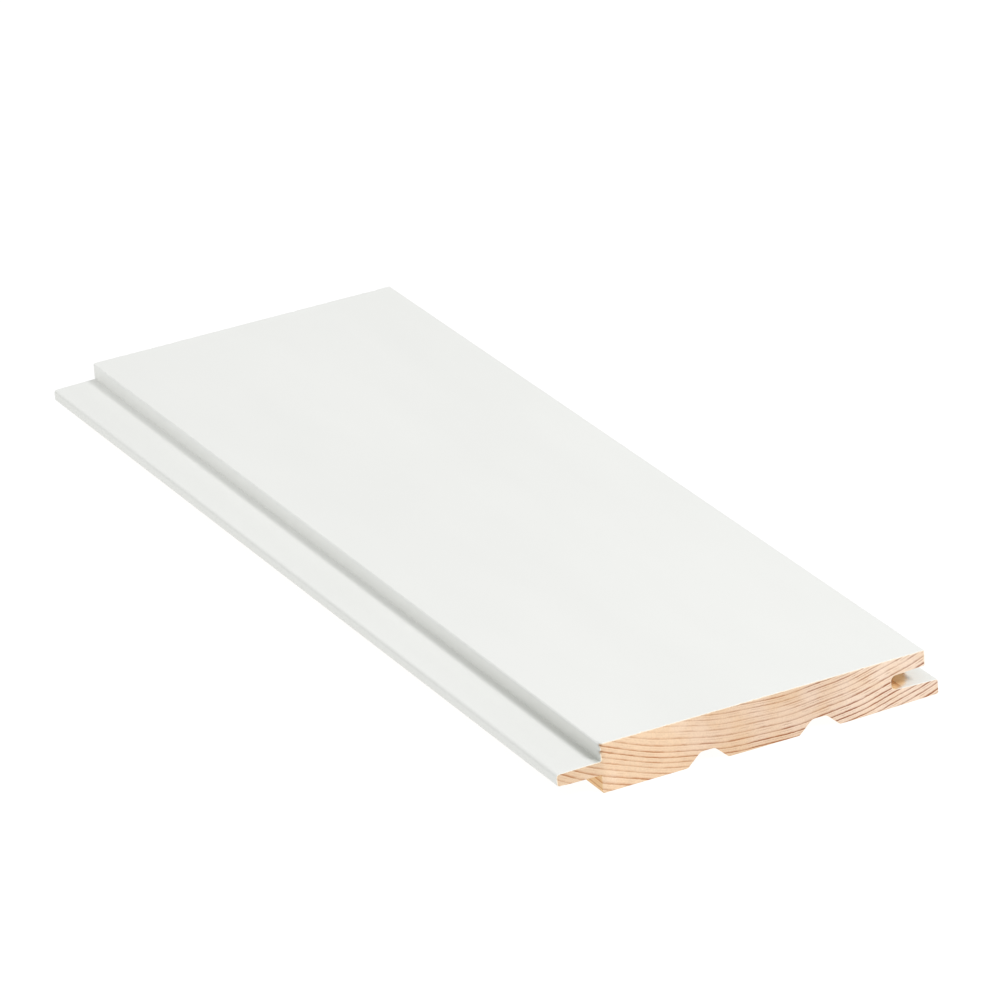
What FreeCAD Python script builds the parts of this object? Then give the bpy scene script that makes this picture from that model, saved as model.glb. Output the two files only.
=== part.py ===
import FreeCAD, Part
import os
import Sketcher

# A tongue and groove wall board, planed along its whole length from one plank of pine.
#
# The board lies on its back. X runs across it, with the tongue on the low side and the groove on the
# high side. Y runs along the grain, and Z points out of the face. The section is measured from the
# tongue's tip and from the back, and the finished board is then centred over its origin.

# Driving dimensions in millimetres, and one count
SIZES = (
    ("board_length", 330.0),
    ("board_thickness", 15.0),
    ("face_width", 102.4),
    ("shoulder_depth", 5.2),
    ("tongue_reach", 13.8),
    ("tongue_root_thickness", 4.3),
    ("tongue_taper", 0.25),
    ("groove_side_clearance", 0.2),
    ("groove_end_clearance", 1.0),
    ("groove_flare", 0.5),
    ("groove_end_round", 1.5),
    ("lower_lip_reach", 3.8),
    ("lip_back_rise", 0.6),
    ("lip_back_run", 28.0),
    ("channel_inset", 33.0),
    ("channel_pitch", 35.2),
    ("channel_count", 2),
    ("channel_depth", 3.9),
    ("channel_floor_width", 4.6),
    ("channel_wall_run", 4.1),
    ("channel_floor_round", 1.2),
    ("channel_mouth_round", 0.6),
    ("tongue_tip_round", 1.0),
    ("lip_edge_round", 0.6),
    ("face_edge_round", 0.4),
    ("back_edge_round", 0.6),
)

# Places across the section, from the tongue's tip
SHOULDER = "Sizes.tongue_reach"
FACE_EDGE = f"({SHOULDER} + Sizes.face_width)"
LIP_TIP = f"({FACE_EDGE} + Sizes.lower_lip_reach)"
GROOVE_END = f"({LIP_TIP} - Sizes.tongue_reach - Sizes.groove_end_clearance)"
LIP_BACK_START = f"({LIP_TIP} - Sizes.lip_back_run)"

# Heights in the section, from the back
FACE = "Sizes.board_thickness"
TONGUE_TOP = f"({FACE} - Sizes.shoulder_depth)"
TONGUE_UNDER = f"({TONGUE_TOP} - Sizes.tongue_root_thickness)"
TONGUE_MIDDLE = f"(({TONGUE_TOP} + {TONGUE_UNDER}) / 2)"
TIP_TOP = f"({TONGUE_TOP} - Sizes.tongue_taper)"
TIP_UNDER = f"({TONGUE_UNDER} + Sizes.tongue_taper)"
GROOVE_END_CEILING = f"({TIP_TOP} + Sizes.groove_side_clearance)"
GROOVE_END_FLOOR = f"({TIP_UNDER} - Sizes.groove_side_clearance)"
GROOVE_MOUTH_CEILING = f"({GROOVE_END_CEILING} + Sizes.groove_flare)"
GROOVE_MOUTH_FLOOR = f"({GROOVE_END_FLOOR} - Sizes.groove_flare)"

# The flare has opened only part of the way where the upper lip ends
UPPER_LIP_SHARE = f"({FACE_EDGE} - {GROOVE_END}) / ({LIP_TIP} - {GROOVE_END})"
UPPER_LIP_UNDER = f"({GROOVE_END_CEILING} + Sizes.groove_flare * {UPPER_LIP_SHARE})"

# The relief channel nearest the tongue
CHANNEL_CENTRE = f"({SHOULDER} + Sizes.channel_inset)"
CHANNEL_HALF_FLOOR = "Sizes.channel_floor_width / 2"
CHANNEL_HALF_MOUTH = f"({CHANNEL_HALF_FLOOR} + Sizes.channel_wall_run)"

# Each rounding takes less than half of the tongue's tip or the groove's end, so that a flat stays between two
ROUND_SHARE = 0.45
TIP_ROUND = f"min(Sizes.tongue_tip_round; {ROUND_SHARE} * ({TIP_TOP} - {TIP_UNDER}))"
GROOVE_ROUND = (
    f"min(Sizes.groove_end_round; {ROUND_SHARE} * ({GROOVE_END_CEILING} - {GROOVE_END_FLOOR}))"
)

# Places in the section that lie this close, in millimetres, are the same place
NEAR = 1e-4

doc = FreeCAD.newDocument("TongueAndGrooveBoard")

sheet = doc.addObject("Spreadsheet::Sheet", "Sizes")
for row, (alias, size) in enumerate(SIZES, 1):
    sheet.set(f"A{row}", alias)
    sheet.set(f"B{row}", str(size))
    sheet.setAlias(f"B{row}", alias)
doc.recompute()

body = doc.addObject("PartDesign::Body", "Board")
body.Label = "board"
section_plane = next(plane for plane in body.Origin.OriginFeatures if plane.Role == "XZ_Plane")


def value(expression):
    """The number that an expression on the sheet comes to."""
    return float(sheet.evalExpression(expression))


def hold_corner(sketch, index, kind, name, expression, start):
    """Keeps a corner on the section's axis, or at a distance from it that follows the sheet."""
    if expression == "0":
        axis = -2 if kind == "DistanceX" else -1
        sketch.addConstraint(Sketcher.Constraint("PointOnObject", index, 1, axis))
        return
    number = sketch.addConstraint(Sketcher.Constraint(kind, -1, 1, index, 1, start))
    sketch.renameConstraint(number, name)
    sketch.setExpression(f"Constraints.{name}", expression)


def section(name, corners):
    """A closed outline across the board, with each corner's place and height bound to the sheet."""
    sketch = body.newObject("Sketcher::SketchObject", name)
    sketch.AttachmentSupport = [(section_plane, "")]
    sketch.MapMode = "FlatFace"
    points = [FreeCAD.Vector(value(across), value(height), 0) for across, height in corners]
    following = [(index + 1) % len(points) for index in range(len(points))]
    for index, after in enumerate(following):
        sketch.addGeometry(Part.LineSegment(points[index], points[after]), False)
    for index, after in enumerate(following):
        sketch.addConstraint(Sketcher.Constraint("Coincident", index, 2, after, 1))
    for index, (across, height) in enumerate(corners):
        hold_corner(sketch, index, "DistanceX", f"across_{index}", across, points[index].x)
        hold_corner(sketch, index, "DistanceY", f"height_{index}", height, points[index].y)
    return sketch


def plane_away(name, corners):
    """Cuts an outline away along the whole board, and sees that the cut took wood off."""
    before = body.Shape.Volume
    pocket = body.newObject("PartDesign::Pocket", name)
    pocket.Profile = section(f"{name}_section", corners)
    pocket.Type = "ThroughAll"
    pocket.SideType = "Symmetric"
    body.Tip = pocket
    doc.recompute()
    if body.Shape.Volume > before - NEAR:
        raise RuntimeError(f"{name} took no wood off")
    return pocket


def long_edges(picked):
    """Names of the board's edges along the grain whose place across and height are picked."""
    names = []
    for number, edge in enumerate(body.Tip.Shape.Edges, 1):
        middle = edge.CenterOfMass
        if edge.BoundBox.YLength > NEAR and picked(middle.x, middle.z):
            names.append(f"Edge{number}")
    return names


def ease(name, radius, edges):
    """Rounds the named edges of the board by a radius that follows the sheet."""
    fillet = body.newObject("PartDesign::Fillet", name)
    fillet.Base = (fillet.BaseFeature, edges)
    fillet.setExpression("Radius", radius)
    doc.recompute()


def ease_corners(name, radius, corners):
    """Rounds the long edges that run through the given corners of the section."""
    edges = []
    for across, height in corners:
        place = value(across)
        level = value(height)
        found = long_edges(lambda x, z: abs(x - place) < NEAR and abs(z - level) < NEAR)
        if len(found) != 1:
            raise RuntimeError(f"{name} found {len(found)} edges at {place:.3f}, {level:.3f}")
        edges += found
    ease(name, radius, edges)


# The planed blank, as wide as the board with its tongue and its lower lip
blank = body.newObject("PartDesign::Pad", "planed_blank")
blank.Profile = section("blank_section", [("0", "0"), (LIP_TIP, "0"), (LIP_TIP, FACE), ("0", FACE)])
blank.SideType = "Symmetric"
blank.setExpression("Length", "Sizes.board_length")
doc.recompute()

# The tongue stands between two rebates that share one shoulder line, and thins towards its tip
plane_away("face_rebate", [("0", TIP_TOP), (SHOULDER, TONGUE_TOP), (SHOULDER, FACE), ("0", FACE)])
plane_away("back_rebate", [("0", "0"), (SHOULDER, "0"), (SHOULDER, TONGUE_UNDER), ("0", TIP_UNDER)])

# The groove takes the tongue of a like board with room to spare, and flares towards its mouth
plane_away(
    "groove",
    [
        (GROOVE_END, GROOVE_END_FLOOR),
        (LIP_TIP, GROOVE_MOUTH_FLOOR),
        (LIP_TIP, GROOVE_MOUTH_CEILING),
        (GROOVE_END, GROOVE_END_CEILING),
    ],
)

# The upper lip stops short of the lower one, which leaves a shadow line between two laid boards
plane_away(
    "shadow_line",
    [(FACE_EDGE, TONGUE_MIDDLE), (LIP_TIP, TONGUE_MIDDLE), (LIP_TIP, FACE), (FACE_EDGE, FACE)],
)

# Relief channels with sloping walls, spaced across the back
channel = plane_away(
    "relief_channel",
    [
        (f"{CHANNEL_CENTRE} - {CHANNEL_HALF_MOUTH}", "0"),
        (f"{CHANNEL_CENTRE} + {CHANNEL_HALF_MOUTH}", "0"),
        (f"{CHANNEL_CENTRE} + {CHANNEL_HALF_FLOOR}", "Sizes.channel_depth"),
        (f"{CHANNEL_CENTRE} - {CHANNEL_HALF_FLOOR}", "Sizes.channel_depth"),
    ],
)
channels = body.newObject("PartDesign::LinearPattern", "relief_channels")
channels.Originals = [channel]
channels.Direction = (channel.Profile[0], ["H_Axis"])
channels.Mode = "Spacing"
channels.setExpression("Offset", "Sizes.channel_pitch")
channels.setExpression("Occurrences", "Sizes.channel_count")
body.Tip = channels
doc.recompute()

# The roundings that the cutters leave along the grain
shoulder_place = value(SHOULDER)
lip_place = value(LIP_TIP)
channel_level = value("Sizes.channel_depth")
ease(
    "channel_floor_corners",
    "Sizes.channel_floor_round",
    long_edges(lambda x, z: abs(z - channel_level) < NEAR),
)
ease(
    "channel_mouth_corners",
    "Sizes.channel_mouth_round",
    long_edges(lambda x, z: abs(z) < NEAR and shoulder_place + NEAR < x < lip_place - NEAR),
)
ease_corners("face_arrises", "Sizes.face_edge_round", [(SHOULDER, FACE), (FACE_EDGE, FACE)])
ease_corners("back_arris", "Sizes.back_edge_round", [(SHOULDER, "0")])
ease_corners("tongue_tip_corners", TIP_ROUND, [("0", TIP_TOP), ("0", TIP_UNDER)])
ease_corners(
    "groove_end_corners",
    GROOVE_ROUND,
    [(GROOVE_END, GROOVE_END_FLOOR), (GROOVE_END, GROOVE_END_CEILING)],
)

# The back of the lower lip slopes away from the wall towards its tip
plane_away(
    "lip_back_slope",
    [(LIP_BACK_START, "0"), (LIP_TIP, "0"), (LIP_TIP, "Sizes.lip_back_rise")],
)
ease_corners(
    "lip_corners",
    "Sizes.lip_edge_round",
    [(FACE_EDGE, UPPER_LIP_UNDER), (LIP_TIP, GROOVE_MOUTH_FLOOR), (LIP_TIP, "Sizes.lip_back_rise")],
)

# The origin lies under the middle of the board
body.setExpression("Placement.Base.x", f"-{LIP_TIP} / 2")
doc.recompute()

for item in doc.Objects:
    if "Invalid" in item.State or "Error" in item.State:
        raise RuntimeError(f"{item.Name} failed to build: {item.State}")
if body.Shape.isNull() or not body.Shape.isValid() or len(body.Shape.Solids) != 1:
    raise RuntimeError("the board is not one sound solid")

os.makedirs("parts", exist_ok=True)
body.Shape.exportStep(f"parts/{body.Label}.step")
print(f"{body.Label}: {body.Shape.BoundBox}, {body.Shape.Volume:.1f} mm3")
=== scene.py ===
import math

import bpy
import numpy as np
from mathutils import Matrix, Vector


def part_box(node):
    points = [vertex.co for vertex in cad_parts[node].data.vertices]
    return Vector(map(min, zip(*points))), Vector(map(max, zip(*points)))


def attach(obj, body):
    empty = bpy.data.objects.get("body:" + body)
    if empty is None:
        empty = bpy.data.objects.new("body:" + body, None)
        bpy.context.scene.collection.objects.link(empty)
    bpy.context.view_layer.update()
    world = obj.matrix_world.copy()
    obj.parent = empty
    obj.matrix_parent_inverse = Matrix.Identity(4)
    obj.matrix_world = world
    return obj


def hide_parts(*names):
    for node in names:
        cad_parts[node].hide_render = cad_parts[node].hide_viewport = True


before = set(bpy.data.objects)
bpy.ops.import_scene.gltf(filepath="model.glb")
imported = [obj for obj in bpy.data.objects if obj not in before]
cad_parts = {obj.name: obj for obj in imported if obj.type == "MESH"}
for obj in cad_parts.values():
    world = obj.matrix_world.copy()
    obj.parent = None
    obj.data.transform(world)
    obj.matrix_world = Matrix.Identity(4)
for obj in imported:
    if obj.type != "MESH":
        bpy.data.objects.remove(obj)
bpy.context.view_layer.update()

# The board's box, from the frame, in metres
BOARD_LOW, BOARD_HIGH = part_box("board")
TIP_X, LIP_X = BOARD_LOW.x, BOARD_HIGH.x
NEAR_Y, FAR_Y = BOARD_LOW.y, BOARD_HIGH.y
BACK_Z, FACE_Z = BOARD_LOW.z, BOARD_HIGH.z

TURN = 2 * math.pi

# The section's own sizes, in metres
SHOULDER_DEPTH = 0.0052
TONGUE_REACH = 0.0138
TONGUE_ROOT = 0.0043
TONGUE_TAPER = 0.00025
GROOVE_SIDE_CLEARANCE = 0.0002
GROOVE_END_CLEARANCE = 0.001
GROOVE_FLARE = 0.0005
GROOVE_ROUND = 0.0015
LOWER_LIP_REACH = 0.0038
LIP_BACK_RISE = 0.0006
LIP_BACK_RUN = 0.028
CHANNEL_INSET = 0.033
CHANNEL_PITCH = 0.0352
CHANNEL_COUNT = 2
CHANNEL_DEPTH = 0.0039
CHANNEL_FLOOR = 0.0046
CHANNEL_WALL_RUN = 0.0041
CHANNEL_FLOOR_EASE = 0.0004
CHANNEL_MOUTH_EASE = 0.0002
TIP_ROUND = 0.001
LIP_ROUND = 0.0006
FACE_ROUND = 0.0004
BACK_ROUND = 0.0006

# Growth rings: arcs round a pith that lies above the face, in metres
PITH_X = 0.011
PITH_Z = 0.138
PITH_DRIFT = 0.0025
PITH_DRIFT_WAVE = 0.62
TRUNK_TAPER = 0.011
RING_PITCH = 0.0017
RING_START = 0.00123
RING_SWING = 0.0003
RING_SWING_START = 0.0012
RING_SWING_WAVE = 0.0119
RING_WAVER = 0.00014
RING_WAVER_WAVE = 0.021
RING_WAVER_LEAN = 0.4
LATEWOOD_SOFT = 4.0
LATEWOOD_CRISP = 7.0
CRISP_START = -0.045
CRISP_FULL = 0.02
LATEWOOD_EDGE = 0.95
BOLD_LEAST = 0.6

# Years of bold late wood, as depth, reach and strength
BOLD_YEARS = (
    (0.0019, 0.0012, 0.12),
    (0.0042, 0.0016, -0.2),
    (0.0075, 0.0012, -0.22),
    (0.0145, 0.0030, 0.55),
    (0.0221, 0.0019, 0.58),
)

# Sawn ends, in metres
ARRIS = 0.00012
RING_RELIEF = 0.00006
CHIP_REACH = 0.0007


# Shapes


def rounding(distance, radius):
    """How far a rounded edge has drawn back: radius less the height of its circle at a distance in."""
    gap = np.clip(radius - distance, 0.0, radius)
    return radius - np.sqrt(radius ** 2 - gap ** 2)


def soft_most(value, floor, ease):
    """The larger of a value and a floor, with the corner between them eased as a hyperbola."""
    gap = value - floor
    return floor + 0.5 * (gap + np.sqrt(gap ** 2 + ease ** 2))


def soft_least(value, ceiling, ease):
    """The smaller of a value and a ceiling, with the corner between them eased as a hyperbola."""
    return -soft_most(-value, -ceiling, ease)


def smooth_step(value, start, end):
    """From 0 at start to 1 at end, easing in and out as a cubic."""
    share = np.clip((value - start) / (end - start), 0.0, 1.0)
    return share * share * (3.0 - 2.0 * share)


def channel_lift(x, shoulder):
    """Height of the back over its lands: each channel is a ramp that is held between land and floor."""
    slope = CHANNEL_DEPTH / CHANNEL_WALL_RUN
    half_mouth = CHANNEL_FLOOR / 2 + CHANNEL_WALL_RUN
    lift = np.zeros_like(x)
    for number in range(CHANNEL_COUNT):
        centre = shoulder + CHANNEL_INSET + number * CHANNEL_PITCH
        ramp = slope * (half_mouth - np.abs(x - centre))
        ramp = soft_least(ramp, CHANNEL_DEPTH, CHANNEL_FLOOR_EASE)
        lift += soft_most(ramp, 0.0, CHANNEL_MOUTH_EASE)
    return lift


# Steps across the section
ARC_STEPS = 7
SHARED_STEPS = 190
SHARED_COLUMNS = SHARED_STEPS + 1 + ARC_STEPS
TONGUE_STEPS = 26
LIP_STEPS = 24
UPPER_ROWS = 26
MIDDLE_ROWS = 18
LOWER_ROWS = 28


def arc_places(radius, steps=ARC_STEPS):
    """Distances into a rounded corner, at equal turns of its circle."""
    return radius * (1.0 - np.cos(np.linspace(0.0, math.pi / 2, steps + 1)))


def places(start, end, steps, start_round=0.0, end_round=0.0):
    """Stations from start to end: even between, and close together round an eased corner."""
    inner = np.linspace(start + start_round, end - end_round, steps + 1)
    parts = [inner]
    if start_round:
        parts.insert(0, start + arc_places(start_round)[:-1])
    if end_round:
        parts.append(end - arc_places(end_round)[-2::-1])
    return np.concatenate(parts)


def strip(x, low, high, rows):
    """Grid of (x, z) between two outlines: z runs from the low one to the high one in equal shares."""
    share = np.linspace(0.0, 1.0, rows + 1)[None, :]
    z = low[:, None] * (1.0 - share) + high[:, None] * share
    return np.stack([np.broadcast_to(x[:, None], z.shape), z], axis=2)


def section(inset):
    """The board's section as three strips, drawn in by an inset, as grids of (x, z).

    The lower strip runs from the shoulder to the lower lip, the middle one from the tongue's tip to the
    end of the groove, and the upper one from the shoulder to the upper lip.
    """
    tip = TIP_X + inset
    shoulder = TIP_X + TONGUE_REACH + inset
    lip = LIP_X - inset
    upper_lip = LIP_X - LOWER_LIP_REACH - inset
    groove_end = LIP_X - TONGUE_REACH - GROOVE_END_CLEARANCE - inset
    shoulder_plain = TIP_X + TONGUE_REACH

    tongue_top = FACE_Z - SHOULDER_DEPTH
    tongue_under = tongue_top - TONGUE_ROOT
    end_ceiling = tongue_top - TONGUE_TAPER + GROOVE_SIDE_CLEARANCE
    end_floor = tongue_under + TONGUE_TAPER - GROOVE_SIDE_CLEARANCE

    shared = places(shoulder, groove_end, SHARED_STEPS, start_round=BACK_ROUND)
    tongue = places(tip, shoulder, TONGUE_STEPS, start_round=TIP_ROUND)
    upper_tail = places(groove_end, upper_lip, LIP_STEPS, GROOVE_ROUND, FACE_ROUND)
    lower_tail = places(groove_end, lip, LIP_STEPS, GROOVE_ROUND, LIP_ROUND)

    across = (shared - shoulder) / (groove_end - shoulder)
    upper_seam = (tongue_top - inset) * (1.0 - across) + (end_ceiling + inset - GROOVE_ROUND) * across
    lower_seam = (tongue_under + inset) * (1.0 - across) + (end_floor - inset + GROOVE_ROUND) * across

    thin = TONGUE_TAPER * (shoulder - tongue) / TONGUE_REACH
    tip_round = rounding(tongue - tip, TIP_ROUND)
    tongue_high = tongue_top - inset - thin - tip_round
    tongue_low = tongue_under + inset + thin + tip_round

    flare = GROOVE_FLARE / (LIP_X - groove_end)
    upper_under = end_ceiling + inset + flare * (upper_tail - groove_end)
    upper_under = upper_under + rounding(upper_lip - upper_tail, LIP_ROUND)
    upper_under = upper_under - rounding(upper_tail - groove_end, GROOVE_ROUND)
    lower_over = end_floor - inset - flare * (lower_tail - groove_end)
    lower_over = lower_over - rounding(lip - lower_tail, LIP_ROUND)
    lower_over = lower_over + rounding(lower_tail - groove_end, GROOVE_ROUND)

    upper_x = np.concatenate([shared, upper_tail[1:]])
    upper_low = np.concatenate([upper_seam, upper_under[1:]])
    edge = np.minimum(upper_x - shoulder, upper_lip - upper_x)
    upper_high = FACE_Z - inset - rounding(edge, FACE_ROUND)

    middle_x = np.concatenate([tongue, shared[1:]])
    middle_low = np.concatenate([tongue_low, lower_seam[1:]])
    middle_high = np.concatenate([tongue_high, upper_seam[1:]])

    lower_x = np.concatenate([shared, lower_tail[1:]])
    lower_high = np.concatenate([lower_seam, lower_over[1:]])
    slope = LIP_BACK_RISE * np.clip((lower_x - LIP_X) / LIP_BACK_RUN + 1.0, 0.0, 1.0)
    lower_low = BACK_Z + inset + channel_lift(lower_x, shoulder_plain) + slope
    lower_low = lower_low + rounding(lower_x - shoulder, BACK_ROUND) + rounding(lip - lower_x, LIP_ROUND)

    return (
        strip(lower_x, lower_low, lower_high, LOWER_ROWS),
        strip(middle_x, middle_low, middle_high, MIDDLE_ROWS),
        strip(upper_x, upper_low, upper_high, UPPER_ROWS),
    )


def ring_depth(x, y, z):
    """Distance from the pith, less its distance to the face: a circle whose centre drifts along the board."""
    along = y - NEAR_Y
    pith_x = PITH_X + PITH_DRIFT * np.sin(TURN * along / PITH_DRIFT_WAVE)
    pith_z = PITH_Z + TRUNK_TAPER * along
    waver = RING_WAVER * np.sin(TURN * (x + RING_WAVER_LEAN * z) / RING_WAVER_WAVE)
    return np.hypot(x - pith_x, pith_z - z) - (PITH_Z - FACE_Z) + waver


def latewood(x, y, z):
    """Share of dense late wood: a power of the place within the ring, cut off sharply where a ring ends."""
    depth = ring_depth(x, y, z)
    swing = RING_SWING * np.cos(TURN * (depth - RING_SWING_START) / RING_SWING_WAVE)
    place = np.mod((depth - RING_START - swing) / RING_PITCH, 1.0)
    fade = np.clip((1.0 - place) / (1.0 - LATEWOOD_EDGE), 0.0, 1.0)
    bold = BOLD_LEAST
    for middle, reach, strength in BOLD_YEARS:
        bold = bold + strength * np.exp(-((depth - middle) / reach) ** 2)
    power = LATEWOOD_SOFT + (LATEWOOD_CRISP - LATEWOOD_SOFT) * smooth_step(x, CRISP_START, CRISP_FULL)
    return place ** power * fade * bold


def grid_faces(numbers):
    """Four-sided faces of a grid of vertex numbers, each turned from the first axis to the second."""
    corners = (numbers[:-1, :-1], numbers[1:, :-1], numbers[1:, 1:], numbers[:-1, 1:])
    return np.stack(corners, axis=2).reshape(-1, 4)


def number_strips(grids):
    """Vertex numbers of the three strips, with one number where two strips meet."""
    sizes = [grid.shape[0] * grid.shape[1] for grid in grids]
    starts = np.concatenate([[0], np.cumsum(sizes)])
    lower, middle, upper = (
        start + np.arange(size).reshape(grid.shape[:2]) for start, size, grid in zip(starts, sizes, grids)
    )
    tongue_columns = middle.shape[0] - SHARED_COLUMNS
    middle[tongue_columns:, 0] = lower[:SHARED_COLUMNS, -1]
    upper[:SHARED_COLUMNS, 0] = middle[tongue_columns:, -1]
    return lower, middle, upper


def outline_runs(lower, middle, upper):
    """The section's outline as runs of vertex numbers, once round, each run named for its surface."""
    shared = SHARED_COLUMNS
    tongue = middle.shape[0] - shared
    return {
        "back": lower[:, 0],
        "lower_lip": lower[-1, 1:],
        "groove_floor": lower[shared - 1:-1, -1][::-1],
        "groove_end": middle[-1, 1:],
        "groove_ceiling": upper[shared:, 0],
        "upper_lip": upper[-1, 1:],
        "face": upper[:-1, -1][::-1],
        "shoulder": upper[0, :-1][::-1],
        "tongue_top": middle[:tongue, -1][::-1],
        "tongue_tip": middle[0, :-1][::-1],
        "tongue_under": middle[1:tongue + 1, 0],
        "back_shoulder": lower[0, 1:-1][::-1],
    }


# How the spray of paint reached into the groove and round the edges, in metres
GROOVE_PAINT_AT_END = LIP_X - 0.0112
GROOVE_PAINT_INSIDE = LIP_X - 0.0042
GROOVE_PAINT_SOFT = 0.003
GROOVE_SPRAY_AND_LIGHT_FADE = 0.0060
CEILING_PAINT_START = LIP_X - LOWER_LIP_REACH - 0.009
LIP_PAINT_START = BACK_Z + LIP_BACK_RISE
LIP_PAINT_FULL = LIP_PAINT_START + 0.0009
UNDER_PAINT_FULL = TIP_X + 0.0015
UNDER_PAINT_END = TIP_X + 0.004
# Share of white in the groove near the sawn ends: partly paint mist, partly painted light where light comes
# in at the open ends
GROOVE_MIST_AND_LIGHT = 0.46
FILM = 0.0007

# Painted shade in the corner of shoulder and tongue, as a painted shadow strip on the tongue's top beside the
# shoulder, and on the tongue's tip, as shares and as distances in metres
CORNER_SHADE_LEAST = 0.25
CORNER_SHADE_AT_END = 1.25
CORNER_SHADE_FADE = 0.07
CORNER_SHADE_AT_ARRIS = 0.5
CORNER_SHADE_AT_FOOT = 0.75
SHADOW_STRIP = 0.0008
SHADOW_STRIP_END = 0.0025
SHADE_ON_TIP = 0.55


def paint_along(name, x, z, y):
    """Share of paint on one run: whole, none, or fading as a cubic where the spray thinned out.

    In the groove the spray reached further in at the sawn ends, with a haze of white there that is partly
    paint mist and partly painted light from the groove's open ends, and both die away from them as an
    exponential.
    """
    spray_and_light_from_end = np.exp(-np.minimum(y - NEAR_Y, FAR_Y - y) / GROOVE_SPRAY_AND_LIGHT_FADE)
    mist_and_light = GROOVE_MIST_AND_LIGHT * spray_and_light_from_end ** 2
    share = np.zeros_like(x)
    if name in ("upper_lip", "face", "shoulder", "tongue_top", "tongue_tip"):
        share = np.ones_like(x)
    elif name == "groove_end":
        share = mist_and_light
    elif name == "groove_floor":
        edge = GROOVE_PAINT_INSIDE + (GROOVE_PAINT_AT_END - GROOVE_PAINT_INSIDE) * spray_and_light_from_end
        share = mist_and_light + (1.0 - mist_and_light) * smooth_step(x, edge - GROOVE_PAINT_SOFT, edge + GROOVE_PAINT_SOFT)
    elif name == "groove_ceiling":
        share = mist_and_light + (1.0 - mist_and_light) * smooth_step(x, CEILING_PAINT_START, LIP_X - LOWER_LIP_REACH)
    elif name == "lower_lip":
        share = smooth_step(z, LIP_PAINT_START, LIP_PAINT_FULL)
    elif name == "tongue_under":
        share = 1.0 - smooth_step(x, UNDER_PAINT_FULL, UNDER_PAINT_END)
    return np.broadcast_to(share, np.broadcast_shapes(x.shape, y.shape))


def painted_shade_along(name, x, z, y):
    """Share of painted shade on one run: even on the tongue's tip, in the corner of shoulder and tongue, and
    as a painted shadow strip on the tongue's top beside the shoulder.

    In the corner it is a cubic of the way out of it, and it dies away from the near end as an exponential.
    """
    corner_shade = CORNER_SHADE_LEAST + CORNER_SHADE_AT_END * np.exp(-(y - NEAR_Y) / CORNER_SHADE_FADE)
    share = SHADE_ON_TIP * (1.0 - smooth_step(x, TIP_X, TIP_X + TIP_ROUND))
    if name == "shoulder":
        climbed = smooth_step(z, FACE_Z - SHOULDER_DEPTH, FACE_Z - FACE_ROUND)
        share = corner_shade * (CORNER_SHADE_AT_FOOT + (CORNER_SHADE_AT_ARRIS - CORNER_SHADE_AT_FOOT) * climbed)
    elif name == "tongue_top":
        share = share + corner_shade * (1.0 - smooth_step(TIP_X + TONGUE_REACH - x, SHADOW_STRIP, SHADOW_STRIP_END))
    return np.broadcast_to(share, np.broadcast_shapes(x.shape, y.shape))


def paint_on_end(x, z):
    """Paint seen edge-on at a sawn end: whole at a painted outline, and gone within a film's depth of it."""
    shoulder = TIP_X + TONGUE_REACH
    tongue_top = FACE_Z - SHOULDER_DEPTH
    above = z > tongue_top
    gaps = np.stack([
        np.where(above, FACE_Z - z, np.inf),
        np.where(above, x - shoulder, np.inf),
        np.where(above, LIP_X - LOWER_LIP_REACH - x, np.inf),
        np.where(x < shoulder, tongue_top - z, np.inf),
        x - TIP_X,
    ])
    return 1.0 - smooth_step(np.min(gaps, axis=0), 0.0, FILM)


# Nicks in the near end's shoulder, as place across, height, radius and depth in metres
NICKS = (
    (TIP_X + TONGUE_REACH, FACE_Z - 0.0005, 0.0006, 0.0006),
    (TIP_X + TONGUE_REACH, FACE_Z - 0.0027, 0.0005, 0.0005),
)

# Small nicks along the face at both ends, in metres and as shares of them, and saw marks
SMALL_NICKS = 48
SMALL_NICK_RADIUS = 0.0004
SMALL_NICK_DEPTH = 0.00025
SMALL_NICK_DEPTHS = (0.3, 1.0)
SMALL_NICK_WIDTHS = (0.6, 1.4)
NEAR_SEED = 11
FAR_SEED = 12
SAW_PITCH = 0.0021
SAW_DEPTH = 0.000012
SAW_LEAN = math.radians(68)


def end_wear(x, z, seed, nicks):
    """Depth that a sawn end has lost: recessed early wood, saw marks as a sine, and nicks as round bells."""
    chance = np.random.default_rng(seed)
    depth = RING_RELIEF * (1.0 - latewood(x, np.full_like(x, NEAR_Y), z))
    across = x * math.cos(SAW_LEAN) + z * math.sin(SAW_LEAN)
    depth = depth + SAW_DEPTH * (1.0 + np.sin(TURN * across / SAW_PITCH))
    small_x = chance.uniform(TIP_X + TONGUE_REACH, LIP_X - LOWER_LIP_REACH, SMALL_NICKS)
    small_deep = SMALL_NICK_DEPTH * chance.uniform(*SMALL_NICK_DEPTHS, SMALL_NICKS)
    small_wide = SMALL_NICK_RADIUS * chance.uniform(*SMALL_NICK_WIDTHS, SMALL_NICKS)
    bells = list(nicks) + list(zip(small_x, np.full(SMALL_NICKS, FACE_Z), small_wide, small_deep))
    for nick_x, nick_z, radius, deep in bells:
        depth = depth + deep * np.exp(-((x - nick_x) ** 2 + (z - nick_z) ** 2) / radius ** 2)
    return depth


def nick_fibre_and_shade(x, y, z):
    """Torn fibre and painted shade in the near end's nicks: round bells that fade along the board."""
    reach = np.exp(-(y - NEAR_Y) / CHIP_REACH)
    bells = [
        np.exp(-((x - nick_x) ** 2 + (z - nick_z) ** 2) / radius ** 2) for nick_x, nick_z, radius, _ in NICKS
    ]
    return reach * np.max(bells, axis=0)


# Stations along the board, as distances from an end, in metres
ARRIS_STEPS = 4
EDGE_STATIONS = (0.0003, 0.0006, 0.001, 0.0016, 0.0026, 0.004, 0.006, 0.0085, 0.012, 0.017, 0.025)
MIDDLE_STATIONS = 22


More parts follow.
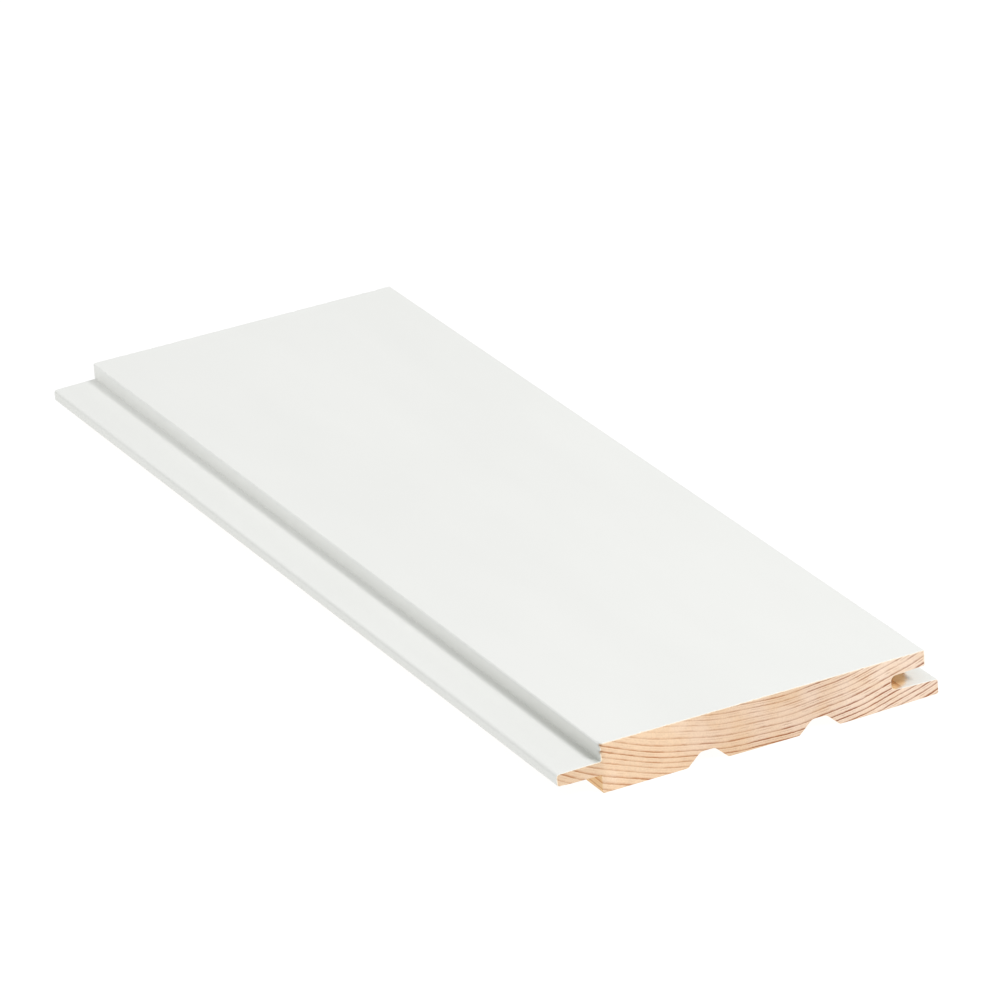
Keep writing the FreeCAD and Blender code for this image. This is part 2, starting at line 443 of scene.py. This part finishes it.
def build_board():
    """The section's outline carried along the board, with the three strips closing it at both ends."""
    arris = arc_places(ARRIS, ARRIS_STEPS)
    insets = np.concatenate([rounding(arris, ARRIS), np.zeros(len(EDGE_STATIONS))])
    distances = np.concatenate([arris, EDGE_STATIONS])

    cap = section(insets[0])
    numbers = number_strips(cap)
    cap_xz = np.concatenate([grid.reshape(-1, 2) for grid in cap])
    runs = outline_runs(*numbers)
    loop = np.concatenate(list(runs.values()))
    cap_faces = np.concatenate([grid_faces(grid) for grid in numbers])

    def ring(inset):
        """The outline once round, as places in the section that is drawn in by an inset."""
        return np.concatenate([grid.reshape(-1, 2) for grid in section(inset)])[loop]

    loops = np.stack([ring(inset) for inset in insets])

    middle_y = np.linspace(NEAR_Y + distances[-1], FAR_Y - distances[-1], MIDDLE_STATIONS + 2)[1:-1]
    row_y = np.concatenate([NEAR_Y + distances, middle_y, FAR_Y - distances[::-1]])[:, None]
    count = len(loop)
    caps = []
    for seed, nicks in ((NEAR_SEED, NICKS), (FAR_SEED, ())):
        wear = end_wear(*cap_xz.T, seed, nicks)
        loop_wear = end_wear(loops[:, :, 0], loops[:, :, 1], seed, nicks)
        fade = np.exp(-distances / CHIP_REACH)[:, None]
        caps.append((wear, distances[:, None] + loop_wear * fade))

    def placed(xz, y):
        """Points of the section set at their distances along the board."""
        return np.stack([xz[..., 0], np.broadcast_to(y, xz.shape[:-1]), xz[..., 1]], axis=-1).reshape(-1, 3)

    def along_runs(share):
        """A share on every row of the side, from its values on the outline's named runs."""
        return np.concatenate([share(name, *cap_xz[run].T, row_y) for name, run in runs.items()], axis=1)

    def over_all(end, side):
        """A mark on both ends, with the side's own value round their outlines, then on the side's rows."""
        near, far = end.copy(), end.copy()
        near[loop], far[loop] = side[0], side[-1]
        return np.concatenate([near, far, side[1:-1].ravel()])

    near_cap = placed(cap_xz, NEAR_Y + caps[0][0])
    far_cap = placed(cap_xz, FAR_Y - caps[1][0])
    near_side = placed(loops[1:], NEAR_Y + caps[0][1][1:])
    far_side = placed(loops[1:][::-1], FAR_Y - caps[1][1][1:][::-1])
    middle = placed(np.broadcast_to(loops[-1], (MIDDLE_STATIONS, count, 2)), middle_y[:, None])
    vertices = np.concatenate([near_cap, far_cap, near_side, middle, far_side])

    first_side = 2 * len(cap_xz)
    side_rows = 2 * (len(distances) - 1) + MIDDLE_STATIONS
    side = first_side + np.arange(side_rows * count).reshape(side_rows, count)
    rows = np.concatenate([loop[None], side, loop[None] + len(cap_xz)])
    rows = np.concatenate([rows, rows[:, :1]], axis=1)
    side_faces = grid_faces(rows)
    faces = np.concatenate([cap_faces, cap_faces[:, ::-1] + len(cap_xz), side_faces])
    sawn = np.zeros(len(faces), dtype=np.int32)
    sawn[:2 * len(cap_faces)] = 1

    paint = over_all(paint_on_end(*cap_xz.T), along_runs(paint_along))
    # Painted shade in the corner of shoulder and tongue, beside it on the tongue's top, and on the tongue's
    # tip
    painted_shade = over_all(np.zeros(len(cap_xz)), along_runs(painted_shade_along))

    used, faces = np.unique(faces, return_inverse=True)
    vertices = vertices[used]
    # Torn fibre and painted shade in the nicks, which also take the paint away there
    torn_fibre_and_shade = nick_fibre_and_shade(*vertices.T)
    marks = {"paint": paint[used] * (1.0 - torn_fibre_and_shade), "painted_shade": painted_shade[used], "torn_fibre_and_shade": torn_fibre_and_shade}
    return vertices, faces.reshape(-1, 4), sawn, marks


SHARP_ANGLE = math.radians(32)


def make_mesh(name, vertices, faces):
    """A mesh of four-sided faces, smooth apart from its sharp corners."""
    mesh = bpy.data.meshes.new(name)
    mesh.vertices.add(len(vertices))
    mesh.vertices.foreach_set("co", vertices.astype(np.float32).ravel())
    mesh.loops.add(faces.size)
    mesh.loops.foreach_set("vertex_index", faces.astype(np.int32).ravel())
    mesh.polygons.add(len(faces))
    mesh.polygons.foreach_set("loop_start", np.arange(0, faces.size, 4, dtype=np.int32))
    mesh.update(calc_edges=True)
    mesh.validate()
    mesh.shade_smooth()
    mesh.set_sharp_from_angle(angle=SHARP_ANGLE)
    return mesh


# Finishes


def linear(red, green, blue):
    """A colour given as seen on a screen, 0 to 255, as light: a straight foot, then a power of 2.4."""
    share = np.array([red, green, blue]) / 255.0
    light = np.where(share <= 0.04045, share / 12.92, ((share + 0.055) / 1.055) ** 2.4)
    return (*light.tolist(), 1.0)


PAINT_WHITE = linear(240, 241, 238)
PAINT_FILM = linear(252, 242, 222)
END_EARLY_GOLD = linear(246, 215, 181)
END_EARLY_PINK = linear(243, 219, 197)
END_LATE_GOLD = linear(184, 116, 66)
END_LATE_PINK = linear(152, 92, 60)
SIDE_EARLY = linear(238, 205, 158)
SIDE_LATE = linear(202, 148, 96)
FLECK = linear(150, 110, 80)
# Dark brown for the near end's nicks: torn fibre with painted shade in them
TORN_FIBRE_AND_SHADE = linear(104, 84, 58)
# Grey for the painted shade in the corner of shoulder and tongue and on the tongue's tip
SHADE_GREY = linear(150, 153, 140)
FLOOR_WHITE = linear(95, 95, 95)
FLOOR_LIGHT = linear(255, 255, 255)


def put(tree, value, socket):
    """Links a socket to an output, or sets it to a plain value."""
    if isinstance(value, bpy.types.NodeSocket):
        tree.links.new(value, socket)
    else:
        socket.default_value = value


def node(tree, kind, inputs=None, **settings):
    """A new node with its settings, and with its inputs linked or set."""
    made = tree.nodes.new(kind)
    for name, value in settings.items():
        setattr(made, name, value)
    for name, value in (inputs or {}).items():
        put(tree, value, made.inputs[name])
    return made


def maths(tree, operation, *values, clamp=False):
    """The result of one sum on sockets and numbers."""
    made = node(tree, "ShaderNodeMath", operation=operation, use_clamp=clamp)
    for socket, value in zip(made.inputs, values):
        put(tree, value, socket)
    return made.outputs[0]


# Numbers of the sockets of a Mix node
MIX_SHARE = 0
FIRST_VALUE, SECOND_VALUE, MIXED_VALUE = 2, 3, 0
FIRST_COLOUR, SECOND_COLOUR, MIXED_COLOUR = 6, 7, 2


def mixed(tree, share, first, second, blend="MIX"):
    """Two colours mixed by a share."""
    inputs = {MIX_SHARE: share, FIRST_COLOUR: first, SECOND_COLOUR: second}
    return node(tree, "ShaderNodeMix", inputs, data_type="RGBA", blend_type=blend).outputs[MIXED_COLOUR]


def mixed_value(tree, share, first, second):
    """Two values mixed by a share."""
    inputs = {MIX_SHARE: share, FIRST_VALUE: first, SECOND_VALUE: second}
    return node(tree, "ShaderNodeMix", inputs, data_type="FLOAT").outputs[MIXED_VALUE]


def ranged(tree, value, start, end, low=0.0, high=1.0, smooth=True):
    """A value carried from one range to another, held at both ends."""
    kind = "SMOOTHSTEP" if smooth else "LINEAR"
    inputs = {"Value": value, "From Min": start, "From Max": end, "To Min": low, "To Max": high}
    return node(tree, "ShaderNodeMapRange", inputs, interpolation_type=kind).outputs[0]


def toned(tree, cloudy, limits, smooth=False):
    """A noise's usual reach carried to a pair of limits."""
    return ranged(tree, cloudy, NOISE_LOW, NOISE_HIGH, *limits, smooth=smooth)


def attribute(tree, name):
    """One of the board's own marks."""
    return node(tree, "ShaderNodeAttribute", attribute_name=name).outputs["Fac"]


def noise(tree, place, stretch, detail=2.0, roughness=0.55):
    """Cloudy noise, with a number of clouds to the metre along each axis."""
    scaled = node(tree, "ShaderNodeVectorMath", {0: place, 1: stretch}, operation="MULTIPLY").outputs[0]
    inputs = {"Vector": scaled, "Scale": 1.0, "Detail": detail, "Roughness": roughness}
    return node(tree, "ShaderNodeTexNoise", inputs).outputs[0]


def new_group(name, inputs, outputs):
    """An empty node group with named sockets, and its inlet and outlet."""
    group = bpy.data.node_groups.new(name, "ShaderNodeTree")
    for label, kind in inputs:
        group.interface.new_socket(label, in_out="INPUT", socket_type=kind)
    for label, kind in outputs:
        group.interface.new_socket(label, in_out="OUTPUT", socket_type=kind)
    inlet = group.nodes.new("NodeGroupInput").outputs
    outlet = group.nodes.new("NodeGroupOutput").inputs
    return group, inlet, outlet


def placed_group(tree, group, **inputs):
    """A node group placed in a material, with its inputs linked or set."""
    made = node(tree, "ShaderNodeGroup", node_tree=group)
    for name, value in inputs.items():
        put(tree, value, made.inputs[name])
    return made.outputs


FLOAT = "NodeSocketFloat"
VECTOR = "NodeSocketVector"

# Clouds of noise to the metre along each axis, and the reach of a noise about its middle
RAGGED_STRETCH = (900.0, 14.0, 900.0)
FIBRE_STRETCH = (2800.0, 45.0, 2800.0)
FLECK_STRETCH = (1500.0, 30.0, 1500.0)
CLOUD_STRETCH = (90.0, 9.0, 130.0)
STREAK_STRETCH = (150.0, 6.0, 420.0)
SPRAY_STRETCH = (1400.0, 420.0, 1400.0)
PEEL_STRETCH = (620.0, 480.0, 620.0)
SHADE_STRETCH = (38.0, 11.0, 38.0)
NOISE_LOW, NOISE_MIDDLE, NOISE_HIGH = 0.3, 0.5, 0.7

# Faint rings between the years, streaks in the late wood, dark flecks, and the edge of the paint
FALSE_RINGS = 2.0
FALSE_RING_PHASE = 0.3
FALSE_RING_POWER = 7.0
FALSE_RING_SHOW = 0.45
FALSE_RING_START, FALSE_RING_FULL = 0.42, 0.62
STREAK_LIMITS = (0.72, 1.28)
FLECK_START, FLECK_FULL = 0.64, 0.76
COVER_START, COVER_FULL = 0.25, 0.75


def growth_rings():
    """Rings round the drifting pith: the circles and powers of the sawn ends' wear, with ragged lines."""
    group, inlet, outlet = new_group(
        "Growth rings",
        [("Place", VECTOR), ("Ragged", FLOAT)],
        [("Latewood", FLOAT), ("Cloud", FLOAT)],
    )
    split = node(group, "ShaderNodeSeparateXYZ", {0: inlet["Place"]}).outputs
    along = maths(group, "SUBTRACT", split[1], NEAR_Y)
    drift = maths(group, "SINE", maths(group, "MULTIPLY", along, TURN / PITH_DRIFT_WAVE))
    pith_x = maths(group, "MULTIPLY_ADD", drift, PITH_DRIFT, PITH_X)
    pith_z = maths(group, "MULTIPLY_ADD", along, TRUNK_TAPER, PITH_Z)
    across = maths(group, "SUBTRACT", split[0], pith_x)
    down = maths(group, "SUBTRACT", pith_z, split[2])
    squares = maths(group, "MULTIPLY_ADD", across, across, maths(group, "MULTIPLY", down, down))
    radius = maths(group, "SQRT", squares)
    lean = maths(group, "MULTIPLY_ADD", split[2], RING_WAVER_LEAN, split[0])
    waver = maths(group, "SINE", maths(group, "MULTIPLY", lean, TURN / RING_WAVER_WAVE))
    depth = maths(group, "SUBTRACT", radius, PITH_Z - FACE_Z)
    depth = maths(group, "MULTIPLY_ADD", waver, RING_WAVER, depth)

    turn = maths(group, "MULTIPLY", maths(group, "SUBTRACT", depth, RING_SWING_START), TURN / RING_SWING_WAVE)
    swing = maths(group, "MULTIPLY_ADD", maths(group, "COSINE", turn), -RING_SWING, -RING_START)
    rings = maths(group, "MULTIPLY", maths(group, "ADD", depth, swing), 1.0 / RING_PITCH)
    ragged = maths(group, "SUBTRACT", noise(group, inlet["Place"], RAGGED_STRETCH, detail=3.0), NOISE_MIDDLE)
    rings = maths(group, "MULTIPLY_ADD", ragged, inlet["Ragged"], rings)
    share = maths(group, "FRACT", rings)
    fade = ranged(group, share, LATEWOOD_EDGE, 1.0, 1.0, 0.0, smooth=False)
    power = ranged(group, split[0], CRISP_START, CRISP_FULL, LATEWOOD_SOFT, LATEWOOD_CRISP)
    dense = maths(group, "MULTIPLY", maths(group, "POWER", share, power), fade)
    bold = BOLD_LEAST
    for middle, reach, strength in BOLD_YEARS:
        away = maths(group, "MULTIPLY", maths(group, "SUBTRACT", depth, middle), 1.0 / reach)
        bell = maths(group, "EXPONENT", maths(group, "MULTIPLY", maths(group, "MULTIPLY", away, away), -1.0))
        bold = maths(group, "MULTIPLY_ADD", bell, strength, bold)
    streak = noise(group, inlet["Place"], STREAK_STRETCH)
    streaky = toned(group, streak, STREAK_LIMITS, smooth=True)
    bold = maths(group, "MULTIPLY", bold, streaky)
    false_turn = maths(group, "MULTIPLY_ADD", rings, FALSE_RINGS, FALSE_RING_PHASE)
    false_ring = maths(group, "POWER", maths(group, "FRACT", false_turn), FALSE_RING_POWER)
    shown = ranged(group, streak, FALSE_RING_START, FALSE_RING_FULL, 0.0, FALSE_RING_SHOW)
    faint = maths(group, "MULTIPLY", false_ring, shown)
    put(group, maths(group, "MULTIPLY_ADD", dense, bold, faint), outlet["Latewood"])
    put(group, noise(group, inlet["Place"], CLOUD_STRETCH), outlet["Cloud"])
    return group


def pine_fibre():
    """Fine fibres drawn out along the grain, which show as dots where it is cut across, and dark flecks."""
    group, inlet, outlet = new_group(
        "Pine fibre",
        [("Place", VECTOR)],
        [("Fibre", FLOAT), ("Fleck", FLOAT)],
    )
    put(group, noise(group, inlet["Place"], FIBRE_STRETCH, detail=3.0, roughness=0.65), outlet["Fibre"])
    flecks = noise(group, inlet["Place"], FLECK_STRETCH, roughness=0.6)
    put(group, ranged(group, flecks, FLECK_START, FLECK_FULL), outlet["Fleck"])
    return group


def paint_coat():
    """Sprayed paint: its edge wanders with a noise, and its skin has a fine orange peel over the grain."""
    group, inlet, outlet = new_group(
        "Paint coat",
        [("Place", VECTOR), ("Cover", FLOAT), ("Ragged", FLOAT)],
        [("Mask", FLOAT), ("Peel", FLOAT), ("Shade", FLOAT)],
    )
    spray = noise(group, inlet["Place"], SPRAY_STRETCH, detail=4.0, roughness=0.7)
    spray = maths(group, "SUBTRACT", spray, NOISE_MIDDLE)
    cover = maths(group, "MULTIPLY_ADD", spray, inlet["Ragged"], inlet["Cover"])
    put(group, ranged(group, cover, COVER_START, COVER_FULL), outlet["Mask"])
    put(group, noise(group, inlet["Place"], PEEL_STRETCH), outlet["Peel"])
    put(group, noise(group, inlet["Place"], SHADE_STRETCH), outlet["Shade"])
    return group


def new_material(name):
    """A material with an empty tree, its shader, and the piece's own coordinates."""
    material = bpy.data.materials.new(name)
    material.use_nodes = True
    tree = material.node_tree
    tree.nodes.clear()
    shader = tree.nodes.new("ShaderNodeBsdfPrincipled")
    output = tree.nodes.new("ShaderNodeOutputMaterial")
    tree.links.new(shader.outputs[0], output.inputs[0])
    place = tree.nodes.new("ShaderNodeTexCoord").outputs["Object"]
    return material, tree, shader, place


# Planed sides: tones and roughness as limits of a noise, heights as shares of the bump, lengths in metres
SIDE_RAGGED = 0.12
SIDE_BOLDNESS = 1.5
SIDE_TONE = (0.9, 1.07)
SIDE_CLOUD = (0.95, 1.05)
SIDE_FLECKS = 0.3
SPRAY_RAGGED = 0.45
PAINT_SHADE = (0.985, 1.01)
# Patchiness of the painted shade in the corner and on the tongue's tip
SHADE_SHOW = (0.26, 0.36)
PAINT_ROUGH = (0.47, 0.55)
PLANED_ROUGH = (0.58, 0.7)
PLANED_SPECULAR = 0.22
KNIFE_PITCH = 0.0016
KNIFE_HEIGHT = 0.06
RING_HEIGHT = 0.5
COAT_HEIGHT = 0.6
PEEL_HEIGHT = 0.35
GRAIN_UNDER_COAT = 0.12
PLANED_BUMP = {"Strength": 0.35, "Distance": 0.00006}


def planed_pine(rings_group, fibre_group, coat_group):
    """Planed long sides: white paint where the spray reached, and bare pine with planer marks elsewhere."""
    material, tree, shader, place = new_material("painted_planed_pine")
    rings = placed_group(tree, rings_group, Place=place, Ragged=SIDE_RAGGED)
    fibre = placed_group(tree, fibre_group, Place=place)
    cover = attribute(tree, "paint")
    coat = placed_group(tree, coat_group, Place=place, Cover=cover, Ragged=SPRAY_RAGGED)

    late = maths(tree, "MULTIPLY", rings["Latewood"], SIDE_BOLDNESS, clamp=True)
    bare = mixed(tree, late, SIDE_EARLY, SIDE_LATE)
    tone = toned(tree, fibre["Fibre"], SIDE_TONE)
    cloud = toned(tree, rings["Cloud"], SIDE_CLOUD)
    bare = mixed(tree, 1.0, bare, maths(tree, "MULTIPLY", tone, cloud), "MULTIPLY")
    bare = mixed(tree, maths(tree, "MULTIPLY", fibre["Fleck"], SIDE_FLECKS), bare, FLECK)
    shade = toned(tree, coat["Shade"], PAINT_SHADE)
    white = mixed(tree, 1.0, PAINT_WHITE, shade, "MULTIPLY")
    # Painted shade: the white greyed in the corner of shoulder and tongue, on a strip of the tongue's top and
    # on the tongue's tip
    patchy = toned(tree, coat["Shade"], SHADE_SHOW, smooth=True)
    white = mixed(tree, maths(tree, "MULTIPLY", attribute(tree, "painted_shade"), patchy), white, SHADE_GREY)
    finish = mixed(tree, coat["Mask"], bare, white)
    # Torn fibre and painted shade darken the nicks
    put(tree, mixed(tree, attribute(tree, "torn_fibre_and_shade"), finish, TORN_FIBRE_AND_SHADE), shader.inputs["Base Color"])

    gloss = toned(tree, coat["Peel"], PAINT_ROUGH)
    dull = toned(tree, fibre["Fibre"], PLANED_ROUGH)
    put(tree, mixed_value(tree, coat["Mask"], dull, gloss), shader.inputs["Roughness"])

    along = node(tree, "ShaderNodeSeparateXYZ", {0: place}).outputs[1]
    knife = maths(tree, "SINE", maths(tree, "MULTIPLY", along, TURN / KNIFE_PITCH))
    wood_height = maths(tree, "MULTIPLY_ADD", knife, KNIFE_HEIGHT, fibre["Fibre"])
    wood_height = maths(tree, "MULTIPLY_ADD", rings["Latewood"], RING_HEIGHT, wood_height)
    coat_height = maths(tree, "MULTIPLY", coat["Peel"], PEEL_HEIGHT)
    coat_height = maths(tree, "MULTIPLY_ADD", fibre["Fibre"], GRAIN_UNDER_COAT, coat_height)
    coat_height = maths(tree, "MULTIPLY_ADD", rings["Latewood"], GRAIN_UNDER_COAT, coat_height)
    coat_height = maths(tree, "ADD", coat_height, COAT_HEIGHT)
    height = mixed_value(tree, coat["Mask"], wood_height, coat_height)
    bump = node(tree, "ShaderNodeBump", {"Height": height, **PLANED_BUMP})
    put(tree, bump.outputs[0], shader.inputs["Normal"])
    shader.inputs["Specular IOR Level"].default_value = PLANED_SPECULAR
    return material


# Sawn ends: the same kinds of values, and places across the board in metres
END_RAGGED = 0.16
FILM_RAGGED = 2.2
FILM_SHOW = 0.9
BLUSH_FROM, BLUSH_TO = 0.35, 0.65
BLUSH = (-0.55, 0.25)
BOLDER_FROM, BOLDER_TO = -0.035, 0.045
END_BOLDNESS = (0.97, 2.3)
END_TONE = (0.91, 1.05)
END_CLOUD = (0.95, 1.04)
HEART_X = 0.005
HEART_FULL, HEART_END = 0.015, 0.036
HEART_TINT = (0.9, 0.87, 0.845, 1.0)
HANDLED_FROM = TIP_X + TONGUE_REACH - 0.001
HANDLED_TO = TIP_X + TONGUE_REACH + 0.003
HANDLED_TONE = 0.89
END_FLECKS = (0.05, 0.3)
SAWN_ROUGH = (0.66, 0.8)
SAWN_SPECULAR = 0.2
SAWN_RING_HEIGHT = 0.4
SAWN_BUMP = {"Strength": 0.4, "Distance": 0.00008}


def sawn_pine(rings_group, fibre_group, coat_group):
    """Sawn ends: rings cut across, warmer on the tongue's side, with the coat of paint seen edge-on."""
    material, tree, shader, place = new_material("sawn_pine_end")
    rings = placed_group(tree, rings_group, Place=place, Ragged=END_RAGGED)
    fibre = placed_group(tree, fibre_group, Place=place)
    cover = attribute(tree, "paint")
    torn_film = maths(tree, "MULTIPLY", cover, FILM_RAGGED)
    coat = placed_group(tree, coat_group, Place=place, Cover=cover, Ragged=torn_film)

    across = node(tree, "ShaderNodeSeparateXYZ", {0: place}).outputs[0]
    blush = ranged(tree, rings["Cloud"], BLUSH_FROM, BLUSH_TO, *BLUSH, smooth=False)
    pinker = maths(tree, "ADD", ranged(tree, across, TIP_X, LIP_X), blush, clamp=True)
    early = mixed(tree, pinker, END_EARLY_GOLD, END_EARLY_PINK)
    late = mixed(tree, pinker, END_LATE_GOLD, END_LATE_PINK)
    boldness = ranged(tree, across, BOLDER_FROM, BOLDER_TO, *END_BOLDNESS)
    wood = mixed(tree, maths(tree, "MULTIPLY", rings["Latewood"], boldness, clamp=True), early, late)
    tone = toned(tree, fibre["Fibre"], END_TONE)
    cloud = toned(tree, rings["Cloud"], END_CLOUD)
    from_heart = maths(tree, "ABSOLUTE", maths(tree, "SUBTRACT", across, HEART_X))
    heart = ranged(tree, from_heart, HEART_FULL, HEART_END, 1.0, 0.0)
    wood = mixed(tree, heart, wood, HEART_TINT, "MULTIPLY")
    handled = ranged(tree, across, HANDLED_FROM, HANDLED_TO, HANDLED_TONE, 1.0)
    tone = maths(tree, "MULTIPLY", tone, handled)
    wood = mixed(tree, 1.0, wood, maths(tree, "MULTIPLY", tone, cloud), "MULTIPLY")
    flecks = maths(tree, "MULTIPLY", fibre["Fleck"], ranged(tree, across, TIP_X, LIP_X, *END_FLECKS))
    wood = mixed(tree, flecks, wood, FLECK)
    finish = mixed(tree, maths(tree, "MULTIPLY", coat["Mask"], FILM_SHOW), wood, PAINT_FILM)
    # Torn fibre and painted shade darken the nicks
    put(tree, mixed(tree, attribute(tree, "torn_fibre_and_shade"), finish, TORN_FIBRE_AND_SHADE), shader.inputs["Base Color"])

    put(tree, toned(tree, fibre["Fibre"], SAWN_ROUGH), shader.inputs["Roughness"])
    height = maths(tree, "MULTIPLY_ADD", rings["Latewood"], SAWN_RING_HEIGHT, fibre["Fibre"])
    bump = node(tree, "ShaderNodeBump", {"Height": height, **SAWN_BUMP})
    put(tree, bump.outputs[0], shader.inputs["Normal"])
    shader.inputs["Specular IOR Level"].default_value = SAWN_SPECULAR
    return material


# The board in its place

vertices, faces, sawn, marks = build_board()
board_mesh = make_mesh("tongue_and_groove_board", vertices, faces)
for label, values in marks.items():
    mark = board_mesh.attributes.new(label, "FLOAT", "POINT")
    mark.data.foreach_set("value", values.astype(np.float32))
groups = growth_rings(), pine_fibre(), paint_coat()
board_mesh.materials.append(planed_pine(*groups))
board_mesh.materials.append(sawn_pine(*groups))
board_mesh.polygons.foreach_set("material_index", sawn)
board = bpy.data.objects.new("tongue_and_groove_board", board_mesh)
bpy.context.scene.collection.objects.link(board)
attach(board, "root")
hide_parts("board")


# Studio: a pale floor, an even sky, and soft lights all round

FLOOR_HALF = 4.0
FLOOR_SQUARE = 1.0
FLOOR_SHIFT = 0.3
FLOOR_GAP = 0.00005
FLOOR_GLOW = 0.94
FLOOR_ROUGH = 0.9
FLOOR_SPECULAR = 0.1
SKY_STRENGTH = 0.595
CENTRE = (BOARD_LOW + BOARD_HIGH) / 2


def make_floor():
    """A flat pale floor just under the board, which shows nothing from below.

    It is a level grid of squares, shifted so that the board lies inside one half of one square.
    """
    lines = np.arange(-FLOOR_HALF, FLOOR_HALF + FLOOR_SQUARE, FLOOR_SQUARE)
    x, y = np.meshgrid(lines + FLOOR_SHIFT, lines - FLOOR_SHIFT, indexing="ij")
    points = np.stack([x, y, np.full_like(x, BACK_Z - FLOOR_GAP)], axis=2).reshape(-1, 3)
    mesh = make_mesh("floor", points, grid_faces(np.arange(x.size).reshape(x.shape)))
    material = bpy.data.materials.new("pale_floor")
    material.use_nodes = True
    tree = material.node_tree
    shader = tree.nodes["Principled BSDF"]
    clear = tree.nodes.new("ShaderNodeBsdfTransparent")
    behind = tree.nodes.new("ShaderNodeNewGeometry").outputs["Backfacing"]
    surface = node(tree, "ShaderNodeMixShader", {0: behind, 1: shader.outputs[0], 2: clear.outputs[0]})
    put(tree, surface.outputs[0], tree.nodes["Material Output"].inputs["Surface"])
    shader.inputs["Base Color"].default_value = FLOOR_WHITE
    shader.inputs["Roughness"].default_value = FLOOR_ROUGH
    shader.inputs["Specular IOR Level"].default_value = FLOOR_SPECULAR
    shader.inputs["Emission Color"].default_value = FLOOR_LIGHT
    shader.inputs["Emission Strength"].default_value = FLOOR_GLOW
    mesh.materials.append(material)
    floor = bpy.data.objects.new("floor", mesh)
    bpy.context.scene.collection.objects.link(floor)


# Soft lights, as name, direction from the board, width in metres and power in watts
LIGHT_DISTANCE = 2.6
LIGHTS = (
    ("overhead_softbox", (0.46, -0.8, 1.0), 0.6, 26.9),
    ("groove_side_softbox", (0.87, -0.15, 0.3), 1.0, 6.6),
    ("tongue_side_softbox", (-0.9, -0.1, 0.35), 1.0, 5.2),
    ("back_softbox", (-0.3, 0.9, 0.4), 1.4, 13.2),
)


def make_light(name, direction, size, power):
    """A square soft light that looks at the board's middle from a direction."""
    lamp = bpy.data.lights.new(name, "AREA")
    lamp.size = size
    lamp.energy = power
    light = bpy.data.objects.new(name, lamp)
    light.location = CENTRE + Vector(direction).normalized() * LIGHT_DISTANCE
    light.rotation_mode = "QUATERNION"
    light.rotation_quaternion = (-Vector(direction)).to_track_quat("-Z", "Y")
    light.visible_camera = False
    bpy.context.scene.collection.objects.link(light)


def make_sky():
    """An even white sky."""
    world = bpy.data.worlds.new("studio")
    world.use_nodes = True
    background = world.node_tree.nodes["Background"]
    background.inputs["Color"].default_value = (1.0, 1.0, 1.0, 1.0)
    background.inputs["Strength"].default_value = SKY_STRENGTH
    bpy.context.scene.world = world


# The camera, as a long lens that looks down on the near end from the tongue's side
CAMERA_AZIMUTH = math.radians(-25.76)
CAMERA_ELEVATION = math.radians(23.73)
CAMERA_ROLL = math.radians(4.34)
CAMERA_DISTANCE = 2.2457
CAMERA_AIM = Vector((0.0077, -0.0028, FACE_Z))
CAMERA_LENS = 276.85
CAMERA_SENSOR = 36.0


def make_camera():
    """The camera on a ball round its aim, rolled about its line of sight."""
    flat = math.cos(CAMERA_ELEVATION)
    back = Vector((
        math.sin(CAMERA_AZIMUTH) * flat,
        -math.cos(CAMERA_AZIMUTH) * flat,
        math.sin(CAMERA_ELEVATION),
    ))
    lens = bpy.data.cameras.new("camera")
    lens.lens = CAMERA_LENS
    lens.sensor_width = CAMERA_SENSOR
    lens.clip_end = 4 * FLOOR_HALF
    camera = bpy.data.objects.new("camera", lens)
    roll = Matrix.Rotation(-CAMERA_ROLL, 4, "Z")
    turn = (-back).to_track_quat("-Z", "Y").to_matrix().to_4x4()
    camera.matrix_world = Matrix.Translation(CAMERA_AIM + back * CAMERA_DISTANCE) @ turn @ roll
    bpy.context.scene.collection.objects.link(camera)
    bpy.context.scene.camera = camera


make_floor()
make_sky()
for light in LIGHTS:
    make_light(*light)
make_camera()
bpy.context.scene.view_settings.view_transform = "Standard"
